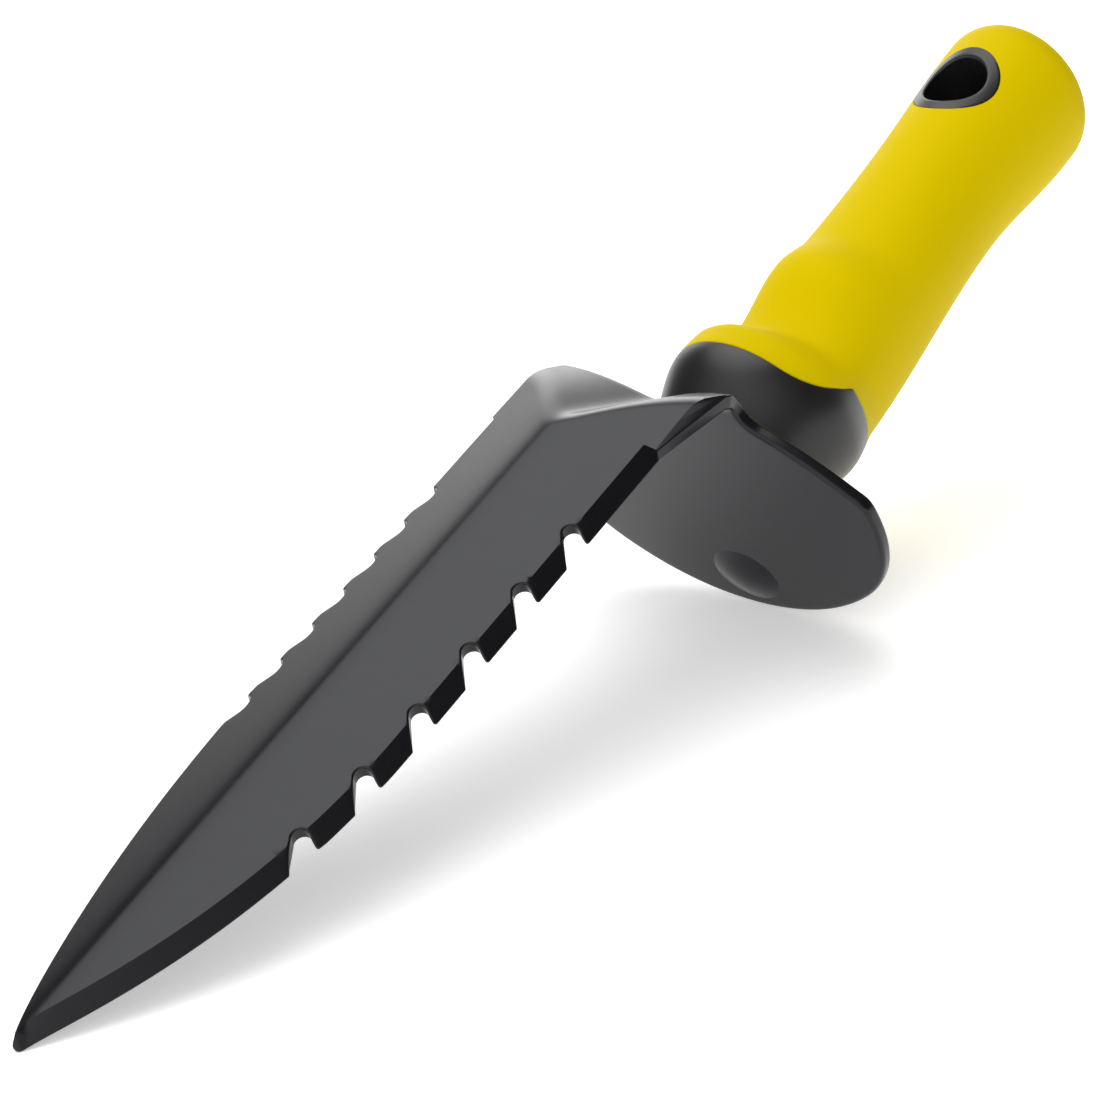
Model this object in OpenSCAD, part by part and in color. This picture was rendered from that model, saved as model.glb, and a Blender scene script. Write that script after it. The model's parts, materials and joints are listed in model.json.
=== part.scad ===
// Hand trowel of the digging-knife kind: one folded steel sheet makes the blade and the hand guard,
// and a two-part plastic handle is moulded on a steel tang that is welded behind the guard.
// The tool is drawn as it rests on a table: on its tip and on the foot of its guard.

/* [Blade] */
// Length from the tip to the front face of the guard
blade_length = 187.5; // [150:0.5:240]
// Half width of the blade, measured down the slope from the crest
blade_half = 24.4; // [18:0.1:32]
// Slope of each half away from the crest, in degrees
fold_slope = 16.2; // [8:0.1:25]
// Thickness of the steel sheet
sheet = 3; // [2:0.1:4]
// Width of the ground bevel along both edges
bevel = 3.3; // [2:0.1:5]
// Length of the curved point
point_length = 85; // [65:1:105]
// Half width at which the two arcs of the point meet the rounded tip
tip_half = 1.9; // [1:0.1:2.4]
// Radius of the rounded tip
tip_round = 3.2; // [2.5:0.1:4]
// Softness of the fold along the crest
crest_round = 1.5; // [0.5:0.1:3]
// Metal left between the ground stretch and the guard
plain_length = 21.8; // [20:0.1:30]

/* [Saw teeth, right edge] */
// Distance from tooth to tooth, eased so that a whole number fills the row
tooth_pitch = 16.3; // [13:0.1:20]
// Distance from the end of the ground stretch to the first tooth tip
tooth_start = 24.8; // [18:0.1:30]
// How far the row reaches past the start of the curved point
tooth_reach = 25.6; // [10:0.1:30]
// Mouth of each gullet along the edge
tooth_mouth = 6.7; // [5:0.1:9]
// Radius of the round end of each gullet
tooth_round = 1.8; // [1:0.1:2.5]
// Depth of each gullet
tooth_depth = 4.9; // [3.6:0.1:6]

/* [Waves, left edge] */
// Distance from wave to wave, eased so that a whole number fills the row
wave_pitch = 10; // [8:0.1:12]
// Distance from the end of the ground stretch to the first wave crest
wave_start = 20.9; // [15:0.1:30]
// How far the row reaches past the start of the curved point
wave_reach = 0.2; // [0:0.1:15]
// Radius of the bottom of each wave
wave_round = 2.6; // [1.5:0.1:3]
// Depth of each wave
wave_depth = 4.4; // [3:0.1:5.5]

/* [Guard] */
// Half width across the wings
guard_half = 47; // [40:0.5:60]
// Height from the crest of the blade down to the foot
guard_drop = 80.5; // [67:0.5:97]
// Lean of the guard away from square to the blade, in degrees
guard_lean = 2; // [0:0.5:4]
// Radius at the outside of the bend
bend_radius = 7; // [5:0.1:9]
// Radius of the wing's end
wing_round = 6; // [2:0.5:8]
// Straight side between the wing's end and the corner
side_flat = 2; // [1:0.1:8]
// Radius of the guard's corners
corner_radius = 32; // [20:0.5:34]
// How much the radius of the foot is larger than the guard's half width
foot_flatness = 9; // [6:0.5:20]
// Height of the pressed boss near the foot
boss_height = 1.6; // [0.5:0.1:2]
// Half width of the boss
boss_half = 8.5; // [5:0.1:12]
// Half height of the boss
boss_tall = 7; // [4:0.1:8]
// Height of the boss's middle above the foot
boss_up = 10; // [9:0.1:14]

/* [Handle] */
// Length of the handle behind the guard
handle_length = 139.5; // [116:0.5:172]
// Depth of the handle's axis below the crest, at the guard
handle_drop = 45.4; // [43:0.1:48]
// Half width at the collar
collar_half = 22.8; // [20:0.1:26]
// Half width at the waist of the grip
waist_half = 16.2; // [14:0.1:20]
// Half width at the swell near the end
swell_half = 17.8; // [14:0.1:20]
// Radius of the rounded end
end_round = 9; // [5:0.5:12]
// Radius of the core inside the grip
core_radius = 10.5; // [9:0.1:12.6]
// Wall of the grip behind the end of the core
end_wall = 6; // [3:0.5:9]
// Radius of the hanging hole
hole_radius = 7.5; // [4:0.1:9]
// Wall of the ring around the hanging hole
ring_wall = 3; // [2:0.1:4]
// Distance from the hanging hole's axis to the end of the handle
hole_inset = 24.5; // [20:0.5:30]

/* [Tang] */
// Radius of the steel tang
tang_radius = 5; // [4:0.1:6]
// Plastic left between the end of the tang and the hanging hole
tang_gap = 21.5; // [5:0.5:40]
// Leg of the weld bead around the tang
weld_leg = 3; // [2:0.1:4]

/* [Hidden] */

steel_colour = "#34373a";
core_colour = "#4a4b4c";
grip_colour = "#dcc400";
bright_steel = "#8a8d90";
tiny = 0.01;
round_sides = 64;

// The blade's frame: X across, Y from the tip to the handle, Z up from the crest.
slope = tan(fold_slope);
edge_land = 0.3;
ground_end = blade_length - plain_length;
back_face = blade_length + sheet;

// The shoulder behind the crest: two facets sink towards the guard's middle and rise to its ears.
shoulder_length = 23.5;
split_y = blade_length - shoulder_length;
facet_fall = 0.717;
facet_rise = 0.54;
facet_crown = 0.0124;
ridge_blend = 2.5;
facet_angle = atan(facet_fall);
bend_axis_y = back_face - bend_radius;
bend_start_y = bend_axis_y + bend_radius * sin(facet_angle);

function soft_abs(x) = sqrt(x * x + crest_round * crest_round) - crest_round;
function blade_z(x) = -slope * soft_abs(x);
function facet_z(x, y) = -facet_fall * (y - split_y) + (facet_rise - facet_crown * soft_abs(x)) * soft_abs(x);
function blend(a, b) = let (h = max(ridge_blend - abs(a - b), 0) / ridge_blend)
    min(a, b) - h * h * ridge_blend / 4;
function top_z(x, y) = blend(blade_z(x), facet_z(x, y));

// Half width of the blade at a distance y from the tip, down the slope: two arcs meet at the point.
point_swell = blade_half - tip_half;
point_radius = (pow(point_length, 2) + pow(point_swell, 2)) / (2 * point_swell);
function ogive(y) = y >= point_length ? blade_half
    : blade_half - point_radius + sqrt(pow(point_radius, 2) - pow(point_length - y, 2));
function tip_arc(y) = sqrt(pow(tip_round, 2) - pow(tip_round - y, 2));
function blade_reach(y) = y < tip_round ? min(ogive(y), tip_arc(y)) : ogive(y);
edge_cos = cos(fold_slope);

// Places in the outline of the guard, on its right half: ear, neck, wing end, corner and foot.
blade_x = blade_half * edge_cos;
ear_half = blade_x + 0.4;
neck_half = blade_x - 2.2;
neck_z = -20;
ear_points = [[neck_half + 0.4, neck_z + 2], [neck_half + 1.2, neck_z - 0.6]];
foot_radius = guard_half + foot_flatness;
foot_z = foot_radius - guard_drop;
corner_x = guard_half - corner_radius;
corner_angle = acos(corner_x / (foot_radius - corner_radius));
corner_z = foot_z - (foot_radius - corner_radius) * sin(corner_angle);
wing_x = guard_half - wing_round;
wing_z = corner_z + side_flat;

// The wing's upper edge is the line from the neck that touches the wing's end arc.
wing_run = wing_x - neck_half;
wing_fall = neck_z - wing_z;
wing_side = sqrt(pow(wing_fall, 2) + pow(wing_run, 2) - pow(wing_round, 2));
wing_slope = (wing_fall * wing_run - wing_round * wing_side) / (pow(wing_run, 2) - pow(wing_round, 2));
wing_normal = atan(1 / wing_slope);
wing_points = 4;
foot_last = 3.5;
function arc_points(cx, cz, r, from, to, n) =
    [for (i = [0:n]) let (a = from + (to - from) * i / n) [cx + r * cos(a), cz + r * sin(a)]];
guard_edge = concat(ear_points,
    [for (i = [1:wing_points]) let (run = wing_run * i / (wing_points + 0.4))
        [neck_half + run, neck_z - wing_slope * run]],
    arc_points(wing_x, wing_z, wing_round, wing_normal, 0, 3),
    arc_points(corner_x, corner_z, corner_radius, 0, -corner_angle, 5),
    [for (i = [1:6]) let (a = -corner_angle - (90 - corner_angle - foot_last) * i / 6)
        [foot_radius * cos(a), foot_z + foot_radius * sin(a)]]);
last_edge = len(guard_edge) - 1;
middle_top = facet_z(0, bend_start_y) - bend_radius * cos(facet_angle);
middle_fall = guard_edge[last_edge][1] - middle_top;
function middle_z(i) = middle_top + middle_fall * sin(90 * (i + 1) / (last_edge + 1));

// Pressed boss, a low dome that bulges towards the tip.
boss_z = boss_up - guard_drop;
function boss(x, z) = let (q = pow(x / boss_half, 2) + pow((z - boss_z) / boss_tall, 2))
    q >= 1 ? 0 : boss_height * pow(1 - q, 1.2);

// Rows of the sheet, each a kind and its value: blade rows by y, bend rows by angle, guard rows by number.
step_gap = 0.4;
point_rows = 8;
shoulder_rows = 8;
bend_rows = 6;
first_rows = [0.15, 0.8, 1.8, tip_round, 5, 8];
blade_rows = concat(first_rows,
    [for (i = [1:point_rows]) 8 + (point_length - 8) * pow(i / point_rows, 1.1)],
    [split_y - 6, split_y - 3, ground_end - step_gap],
    [for (i = [0:shoulder_rows]) ground_end + (bend_start_y - ground_end) * i / shoulder_rows]);
rows = concat([for (y = blade_rows) [0, y]],
    [for (i = [1:bend_rows]) [1, facet_angle + (90 - facet_angle) * i / bend_rows]],
    [for (i = [0:last_edge]) [2, i]]);
columns = 13;

function is_ground(row) = row[0] == 0 && row[1] < ground_end - step_gap / 2;
function shoulder_half(y) = blade_x + (ear_half - blade_x) * (y - ground_end) / (bend_start_y - ground_end);
function bend_half(a) = ear_half + (guard_edge[0][0] - ear_half) * (a - facet_angle) / (90 - facet_angle);
function row_half(row) = row[0] == 1 ? bend_half(row[1])
    : row[0] == 2 ? guard_edge[row[1]][0]
    : row[1] < ground_end ? blade_reach(row[1]) * edge_cos
    : shoulder_half(row[1]);

// A point on the outer face of the sheet, and the outward normal there.
function skin(row, x) =
    row[0] == 0 ? [x, row[1], top_z(x, row[1])]
    : row[0] == 1 ? [x, bend_axis_y + bend_radius * sin(row[1]),
        facet_z(x, bend_start_y) - bend_radius * (cos(facet_angle) - cos(row[1]))]
    : let (edge = guard_edge[row[1]], mid = middle_z(row[1]),
           z = mid + (edge[1] - mid) * abs(x) / edge[0])
        [x, back_face + tan(guard_lean) * max(neck_z - z, 0) - boss(x, z), z];
step = 0.1;
function skin_normal(row, x) = let (n =
    row[0] == 0 ? [-(top_z(x + step, row[1]) - top_z(x - step, row[1])) / (2 * step),
        -(top_z(x, row[1] + step) - top_z(x, row[1] - step)) / (2 * step), 1]
    : row[0] == 1 ? [-(facet_rise - 2 * facet_crown * soft_abs(x)) * sign(x) * cos(row[1]),
        sin(row[1]), cos(row[1])]
    : [0, cos(guard_lean), sin(guard_lean)]) n / norm(n);

// Lateral places of a row's columns: even up to the bevel, and one more at the edge.
function column_x(row, j) = let (half = row_half(row), inner = max(half - bevel, half * 0.3),
    k = abs(j), x = k == columns ? half : inner * k / (columns - 1)) sign(j) * x;
function thickness(row, x) = !is_ground(row) ? sheet
    : let (side = (row_half(row) - abs(x)), front = row[1])
        sheet * max(edge_land / sheet, min(1, min(side, front) / bevel));
outer = [for (row = rows) [for (j = [-columns:columns]) let (x = column_x(row, j), n = skin_normal(row, x))
    skin(row, x) - n * (sheet - thickness(row, x))]];
inner = [for (row = rows) [for (j = [-columns:columns]) let (x = column_x(row, j), n = skin_normal(row, x))
    skin(row, x) - n * sheet]];
span = 2 * columns + 1;
last_row = len(rows) - 1;
under = len(rows) * span;

module sheet_metal() {
    points = concat([for (line = outer) each line], [for (line = inner) each line]);
    top = [for (r = [0:last_row - 1], c = [0:span - 2]) let (i = r * span + c)
        each [[i, i + span + 1, i + 1], [i, i + span, i + span + 1]]];
    bottom = [for (f = top) [under + f[0], under + f[2], under + f[1]]];
    sides = [for (r = [0:last_row - 1]) let (i = r * span, k = i + span - 1)
        each [[i, under + i, under + i + span], [i, under + i + span, i + span],
              [k, under + k + span, under + k], [k, k + span, under + k + span]]];
    ends = [for (c = [0:span - 2]) let (i = c, k = last_row * span + c)
        each [[i, i + 1, under + i + 1], [i, under + i + 1, under + i],
              [k, under + k + 1, k + 1], [k, under + k, under + k + 1]]];
    polyhedron(points = points, faces = concat(top, bottom, sides, ends));
}

// A cutter for one gullet, drawn on the slope at the blade's edge: X out from the edge, Y along the blade.
cutter_reach = 6;
cutter_flare = 0.4;
function cutter_outline(mouth, depth, r, lead) = concat(
    [[cutter_reach, -mouth - cutter_reach * cutter_flare], [0, -mouth]],
    [for (i = [0:8]) let (a = 225 - i * 22.5) [r - depth + r * cos(a), lead + r * sin(a)]],
    [[0, 0], [cutter_reach, 0.3]]);
module cutter(side, y, mouth, depth, r, lead) {
    mirror([side < 0 ? 1 : 0, 0, 0])
        rotate([0, fold_slope, 0])
            translate([blade_reach(y), y, -sheet - cutter_reach])
                linear_extrude(sheet + 2 * cutter_reach)
                    polygon(cutter_outline(mouth, depth, r, lead));
}

// Rows of cuts from just ahead of the shoulder to the curved point, each filled by a whole number of steps.
function row_length(start, reach) = ground_end - start - (point_length - reach);
function row_steps(start, reach, pitch) = max(1, round(row_length(start, reach) / pitch));
tooth_steps = row_steps(tooth_start, tooth_reach, tooth_pitch);
tooth_step = row_length(tooth_start, tooth_reach) / tooth_steps;
tooth_lead = -0.4;
wave_steps = row_steps(wave_start, wave_reach, wave_pitch);
wave_step = row_length(wave_start, wave_reach) / wave_steps;
wave_lead = -0.38 * wave_step;

module rest_pose() {
    translate([0, -rest_y, rest_z]) rotate([rest_tilt, 0, 0]) children();
}

module blade_guard() {
    color(steel_colour) rest_pose() difference() {
        sheet_metal();
        for (i = [0:tooth_steps])
            cutter(1, ground_end - tooth_start - i * tooth_step,
                tooth_mouth, tooth_depth, tooth_round, tooth_lead);
        for (i = [0:wave_steps])
            cutter(-1, ground_end - wave_start - i * wave_step,
                wave_step, wave_depth, wave_round, wave_lead);
    }
}

// The handle's frame: Y away from the guard's back face along the handle's axis.
axis_z = -handle_drop;
axis_y = back_face + tan(guard_lean) * (handle_drop + neck_z);
module handle_frame() {
    rest_pose() translate([0, axis_y, axis_z]) rotate([guard_lean, 0, 0]) children();
}

// Heights above and below the axis and half widths, as [distance from the guard, size] at swells and waists.
end_swell = handle_length - 11;
waist = handle_length - 44.5;
flange = collar_half + 1.3;
thumb_rest = 14.6;
knuckle = 19.6;
top_sizes = [[0, 17], [19, flange], [25, flange - 0.5], [35, thumb_rest], [53, knuckle], [64, 16.7],
    [end_swell, 19.5]];
bottom_sizes = [[0, 16], [34, 23.2], [waist, 18.1], [end_swell, 21]];
side_sizes = [[0, 18], [22, collar_half], [38, 18.4], [waist, waist_half], [end_swell, swell_half]];
function ease(t) = t * t * (3 - 2 * t);
function size_at(list, y, i = 0) = i == len(list) - 1 || y <= list[0][0] ? list[i][1]
    : y < list[i + 1][0] ? list[i][1] + (list[i + 1][1] - list[i][1])
        * ease((y - list[i][0]) / (list[i + 1][0] - list[i][0]))
    : size_at(list, y, i + 1);
function end_trim(y) = let (t = max(y - (handle_length - end_round), 0))
    end_round - sqrt(max(end_round * end_round - t * t, 0));
sides_of_ring = 36;
function grip_point(y, a) = let (trim = end_trim(y))
    [(size_at(side_sizes, y) - trim) * cos(a), y,
     (size_at(sin(a) >= 0 ? top_sizes : bottom_sizes, y) - trim) * sin(a)];

// Where the grip begins: behind the collar above, and further back below.
grip_start_top = 20;
grip_start_low = 31;
function grip_rise(a) = let (t = max(0, min(1, (sin(a) - 0.2) / 0.62))) 1 - (1 - t) * (1 - t);
function grip_start(a) = grip_start_low + (grip_start_top - grip_start_low) * grip_rise(a);
function core_ring(y, r) = [for (i = [0:sides_of_ring - 1]) let (a = i * 360 / sides_of_ring)
    [r * cos(a), y, r * sin(a)]];

// A closed solid from rings that follow one another outside and then, for a cup, back inside.
module loft(rings) {
    n = sides_of_ring;
    m = len(rings);
    points = [for (r = rings) each r];
    skin_faces = [for (r = [0:m - 2], i = [0:n - 1])
        let (k = (i + 1) % n, a = r * n + i, b = r * n + k, c = b + n, d = a + n)
        each [[a, b, c], [a, c, d]]];
    caps = [[for (i = [n - 1:-1:0]) i], [for (i = [0:n - 1]) (m - 1) * n + i]];
    polyhedron(points = points, faces = concat(skin_faces, caps));
}

collar_rows = 8;
function collar_ring(t) = [for (i = [0:sides_of_ring - 1]) let (a = i * 360 / sides_of_ring)
    grip_point(t * grip_start(a), a)];
grip_rows = 26;
function grip_ring(t) = [for (i = [0:sides_of_ring - 1]) let (a = i * 360 / sides_of_ring,
    y = grip_start(a) + (handle_length - grip_start(a)) * t) grip_point(y, a)];
function step_ring(r) = [for (i = [0:sides_of_ring - 1]) let (a = i * 360 / sides_of_ring)
    [r * cos(a), grip_start(a), r * sin(a)]];
core_end = handle_length - end_wall;
hole_y = handle_length - hole_inset;
tang_length = hole_y - hole_radius - tang_gap;
grip_t = [for (i = [0:grip_rows]) let (t = i / grip_rows) 1 - pow(1 - t, 1.4)];

// Round bars on the hole's axis and on the handle's axis.
module across_handle(r) {
    translate([0, hole_y, -2 * collar_half]) cylinder(r = r, h = 4 * collar_half, $fn = round_sides);
}
module along_handle(start, length, r1, r2) {
    rotate([-90, 0, 0]) translate([0, 0, start]) cylinder(r1 = r1, r2 = r2, h = length, $fn = round_sides);
}

module handle_core() {
    color(core_colour) handle_frame() difference() {
        union() {
            loft(concat([for (i = [0:collar_rows]) collar_ring(i / collar_rows)],
                [step_ring(core_radius)], [core_ring(core_end, core_radius)]));
            intersection() {
                loft([for (t = grip_t) grip_ring(t)]);
                across_handle(hole_radius + ring_wall);
            }
        }
        across_handle(hole_radius);
        along_handle(-tiny, tang_length + tiny, tang_radius, tang_radius);
        along_handle(-tiny, weld_leg + tiny, tang_radius + weld_leg + tiny, tang_radius);
    }
}

module grip_sleeve() {
    color(grip_colour) handle_frame() difference() {
        loft(concat([core_ring(core_end, core_radius)], [step_ring(core_radius)],
            [for (t = grip_t) grip_ring(t)]));
        across_handle(hole_radius + ring_wall);
    }
}

module tang() {
    color(bright_steel) handle_frame() along_handle(0, tang_length, tang_radius, tang_radius);
}

module tang_weld() {
    color(bright_steel) handle_frame() difference() {
        along_handle(0, weld_leg, tang_radius + weld_leg, tang_radius + tiny);
        along_handle(-1, weld_leg + 2, tang_radius, tang_radius);
    }
}

// The resting pose: the tip and the foot of the guard touch the table.
foot_y = blade_length + tan(guard_lean) * (guard_drop + neck_z);
tip_floor_z = -sheet / edge_cos;
rest_tilt = atan((tip_floor_z + guard_drop) / foot_y);
rest_z = -tip_floor_z * cos(rest_tilt);
tip_world_y = -tip_floor_z * sin(rest_tilt);
end_low = size_at(bottom_sizes, handle_length - end_round) - end_round;
end_tilt = rest_tilt + guard_lean;
end_world_y = axis_y * cos(rest_tilt) - axis_z * sin(rest_tilt)
    + (handle_length - end_round) * cos(end_tilt) + end_low * sin(end_tilt) + end_round;
rest_y = (tip_world_y + end_world_y) / 2;

blade_guard();
tang();
tang_weld();
handle_core();
grip_sleeve();
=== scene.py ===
# %% [markdown]
# # A digging trowel, made the way the real one is made
#
# The real tool starts as a flat steel plate. It is cut out with its saw teeth and waves, its edges
# are ground, it is folded along the middle, and its back end is bent down to guard the hand. A
# two-part handle is then moulded on a bar behind the guard. This lesson follows the same order,
# inside the box of the CAD model.

# %% Load the CAD model
import json
import math

import bpy
import numpy as np
from mathutils import Matrix, Vector
from mathutils.geometry import delaunay_2d_cdt
from mathutils.kdtree import KDTree


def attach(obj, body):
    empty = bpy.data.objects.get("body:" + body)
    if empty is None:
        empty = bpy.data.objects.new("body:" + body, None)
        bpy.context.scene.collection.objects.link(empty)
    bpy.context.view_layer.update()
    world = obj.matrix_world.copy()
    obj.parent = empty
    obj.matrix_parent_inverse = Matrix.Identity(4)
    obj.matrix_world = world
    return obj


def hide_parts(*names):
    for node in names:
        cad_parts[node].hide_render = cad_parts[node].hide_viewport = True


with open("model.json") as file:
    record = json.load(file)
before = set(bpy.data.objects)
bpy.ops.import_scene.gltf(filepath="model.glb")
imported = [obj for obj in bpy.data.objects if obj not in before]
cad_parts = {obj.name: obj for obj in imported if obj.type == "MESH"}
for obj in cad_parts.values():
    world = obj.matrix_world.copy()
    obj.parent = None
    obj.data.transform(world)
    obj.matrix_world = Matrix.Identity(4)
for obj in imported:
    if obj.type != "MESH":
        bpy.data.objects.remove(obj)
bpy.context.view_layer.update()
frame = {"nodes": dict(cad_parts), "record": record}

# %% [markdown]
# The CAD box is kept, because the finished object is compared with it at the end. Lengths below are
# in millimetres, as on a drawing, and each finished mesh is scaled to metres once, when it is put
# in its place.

MM = 0.001

# %% [markdown]
# ## Where the two frames lie
#
# Two drawings are used. The blade's drawing has X across, Y from the tip to the handle and Z up
# from the crest. The handle's drawing has Y along the grip. The trowel rests tilted on its tip and
# on the foot of its guard, and the hanging hole in the CAD record says how far: its place and its
# axis fix both drawings in the room.

# %% Place the drawings in the room
BLADE_LENGTH = 187.5
SHEET = 3.0
GUARD_LEAN = math.radians(2)
HANDLE_LENGTH = 139.5
HANDLE_DROP = 45.4
HOLE_FROM_END = 24.5
HOLE_Y = HANDLE_LENGTH - HOLE_FROM_END
HOLE_RADIUS = 7.5
NECK_Z = -20.0
BACK_FACE = BLADE_LENGTH + SHEET

hang_hole = next(m for m in frame["record"]["mounts"] if m["name"] == "hang_hole")
handle_tilt = math.atan2(-hang_hole["axis"][1], hang_hole["axis"][2])
handle_start = Vector((0, BACK_FACE + math.tan(GUARD_LEAN) * (HANDLE_DROP + NECK_Z), -HANDLE_DROP))


def room_matrix(tilt, drawing_point, room_point):
    """Scales a drawing to metres, tilts it, and puts one of its points at a place in the room."""
    turn = Matrix.Rotation(tilt, 4, "X") @ Matrix.Scale(MM, 4)
    return Matrix.Translation(Vector(room_point) - turn @ Vector(drawing_point)) @ turn


handle_place = room_matrix(handle_tilt, (0, HOLE_Y, 0), hang_hole["pos_m"])
blade_place = room_matrix(handle_tilt - GUARD_LEAN, handle_start, handle_place.translation)
print("handle tilt:", round(math.degrees(handle_tilt), 2), "degrees; blade origin:",
      [round(v / MM, 1) for v in blade_place.translation])

# %% [markdown]
# ## A pencil for node trees
#
# Node trees hold a lot of arithmetic. Wrapping a socket in a small class lets Python write it as a
# formula: each operator adds the Math node that it stands for. The same class serves geometry and
# materials.


# %% Wrap a socket so that formulas make nodes
def math_method(operation, reflected=False):
    """A method that adds one Math node; a reflected one puts the other value first, as 1 - wire needs."""

    def method(self, *others):
        values = (*others, self) if reflected else (self, *others)
        return node(self.tree, "ShaderNodeMath", {"operation": operation}, values)

    return method


class Wire:
    """A value in a node tree. Arithmetic on it adds Math nodes."""

    def __init__(self, tree, socket):
        self.tree, self.socket = tree, socket

    __add__, __radd__ = math_method("ADD"), math_method("ADD", reflected=True)
    __sub__, __rsub__ = math_method("SUBTRACT"), math_method("SUBTRACT", reflected=True)
    __mul__, __rmul__ = math_method("MULTIPLY"), math_method("MULTIPLY", reflected=True)
    __truediv__, __rtruediv__ = math_method("DIVIDE"), math_method("DIVIDE", reflected=True)
    __pow__ = math_method("POWER")
    __abs__ = math_method("ABSOLUTE")
    sine = math_method("SINE")
    cosine = math_method("COSINE")
    least = math_method("MINIMUM")
    most = math_method("MAXIMUM")


def node(tree, kind, settings=None, values=(), output=0):
    """Adds a node: its settings first, then the value or the link of each input, and gives one output."""
    made = tree.nodes.new(kind)
    for name, value in (settings or {}).items():
        setattr(made, name, value)
    pairs = values.items() if isinstance(values, dict) else enumerate(values)
    for key, value in pairs:
        if isinstance(value, Wire):
            tree.links.new(value.socket, made.inputs[key])
        else:
            made.inputs[key].default_value = value
    return Wire(tree, made.outputs[output])


def least(a, b):
    """The smaller of two values, which may be numbers or wires."""
    if isinstance(a, Wire):
        return a.least(b)
    return b.least(a) if isinstance(b, Wire) else min(a, b)


def most(a, b):
    """The larger of two values, which may be numbers or wires."""
    if isinstance(a, Wire):
        return a.most(b)
    return b.most(a) if isinstance(b, Wire) else max(a, b)


# %% [markdown]
# A geometry tree is a small machine with named dials. The helper below makes the tree's inputs,
# runs it on a mesh through a modifier, and keeps the plain mesh that comes out.


# %% Run a geometry tree on a mesh
def geometry_tree(name, dials):
    """A new tree with a Geometry input and one input for each dial, and the wires of both."""
    tree = bpy.data.node_groups.new(name, "GeometryNodeTree")
    tree.interface.new_socket("Geometry", in_out="INPUT", socket_type="NodeSocketGeometry")
    tree.interface.new_socket("Geometry", in_out="OUTPUT", socket_type="NodeSocketGeometry")
    for dial, value in dials.items():
        kind = "NodeSocketInt" if isinstance(value, int) else "NodeSocketFloat"
        tree.interface.new_socket(dial, in_out="INPUT", socket_type=kind)
    entry = tree.nodes.new("NodeGroupInput")
    wires = {dial: Wire(tree, entry.outputs[dial]) for dial in dials}
    return tree, Wire(tree, entry.outputs["Geometry"]), wires


def close_tree(tree, geometry, material):
    """Ends a tree in real geometry with its material."""
    real = node(tree, "GeometryNodeRealizeInstances", {}, {"Geometry": geometry})
    done = node(tree, "GeometryNodeSetMaterial", {}, {"Geometry": real, "Material": material})
    tree.links.new(done.socket, tree.nodes.new("NodeGroupOutput").inputs["Geometry"])


def run_tree(thing, tree, dials):
    """Sets the dials by their sockets' identifiers, evaluates the object, and makes its mesh plain."""
    modifier = thing.modifiers.new(tree.name, "NODES")
    modifier.node_group = tree
    for item in tree.interface.items_tree:
        if item.in_out == "INPUT" and item.name in dials:
            modifier[item.identifier] = dials[item.name]
    keep_result(thing)


def keep_result(thing):
    """Replaces an object's mesh by what its modifiers make of it, and removes them."""
    thing.update_tag()
    bpy.context.view_layer.update()
    graph = bpy.context.evaluated_depsgraph_get()
    seen = thing.evaluated_get(graph)
    result = bpy.data.meshes.new_from_object(seen, preserve_all_data_layers=True, depsgraph=graph)
    thing.modifiers.clear()
    thing.data = result


def new_piece(name, points, faces, edges=()):
    """A mesh object from plain lists, linked to the scene."""
    mesh = bpy.data.meshes.new(name)
    spots = [tuple(map(float, point)) for point in points]
    mesh.from_pydata(spots, list(edges), [tuple(map(int, face)) for face in faces])
    thing = bpy.data.objects.new(name, mesh)
    bpy.context.scene.collection.objects.link(thing)
    return thing


# %% [markdown]
# ## Finishes
#
# Five finishes cover the tool: a baked black coating on the sheet, grey hard plastic, yellow
# soft-touch rubber, and two bare metals for the bar and the weld inside. Each is mixed from noise
# at the scale that the real one shows, so that it reads as a material from close by and from afar.


# %% Start a material
def new_material(name, **constants):
    """A node material; the constants go straight to the shader's own sockets."""
    material = bpy.data.materials.new(name)
    material.use_nodes = True
    tree = material.node_tree
    shader = tree.nodes["Principled BSDF"]
    for socket, value in constants.items():
        shader.inputs[socket.replace("_", " ")].default_value = value
    place = node(tree, "ShaderNodeTexCoord", {}, (), "Object")
    return material, tree, shader, place


def noise(tree, place, size, detail, roughness=0.5):
    """Soft noise whose lumps are about `size` millimetres across, from 0 to 1."""
    values = {"Vector": place, "Scale": 1 / (size * MM), "Detail": detail, "Roughness": roughness}
    return node(tree, "ShaderNodeTexNoise", {"noise_dimensions": "3D"}, values, "Fac")


def tint(tree, factor, dark, light):
    """A colour between two, by a value."""
    settings = {"data_type": "RGBA", "clamp_factor": True}
    return node(tree, "ShaderNodeMix", settings, {0: factor, 6: (*dark, 1.0), 7: (*light, 1.0)}, 2)


def bump(tree, height, depth):
    """A normal from a height field; depth is in millimetres."""
    return node(tree, "ShaderNodeBump", {}, {"Height": height, "Distance": depth * MM})


def feed(tree, wire, shader, socket):
    """Links a wire to one of the shader's sockets."""
    tree.links.new(wire.socket, shader.inputs[socket])


# %% [markdown]
# The sheet wears a thin baked coating, nearly black and half glossy. A plain dark shader would look
# like plastic, so the gloss changes in faint streaks, as a sprayed coat dries, and a very low bump
# gives the fine grain that breaks up its reflections.


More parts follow.
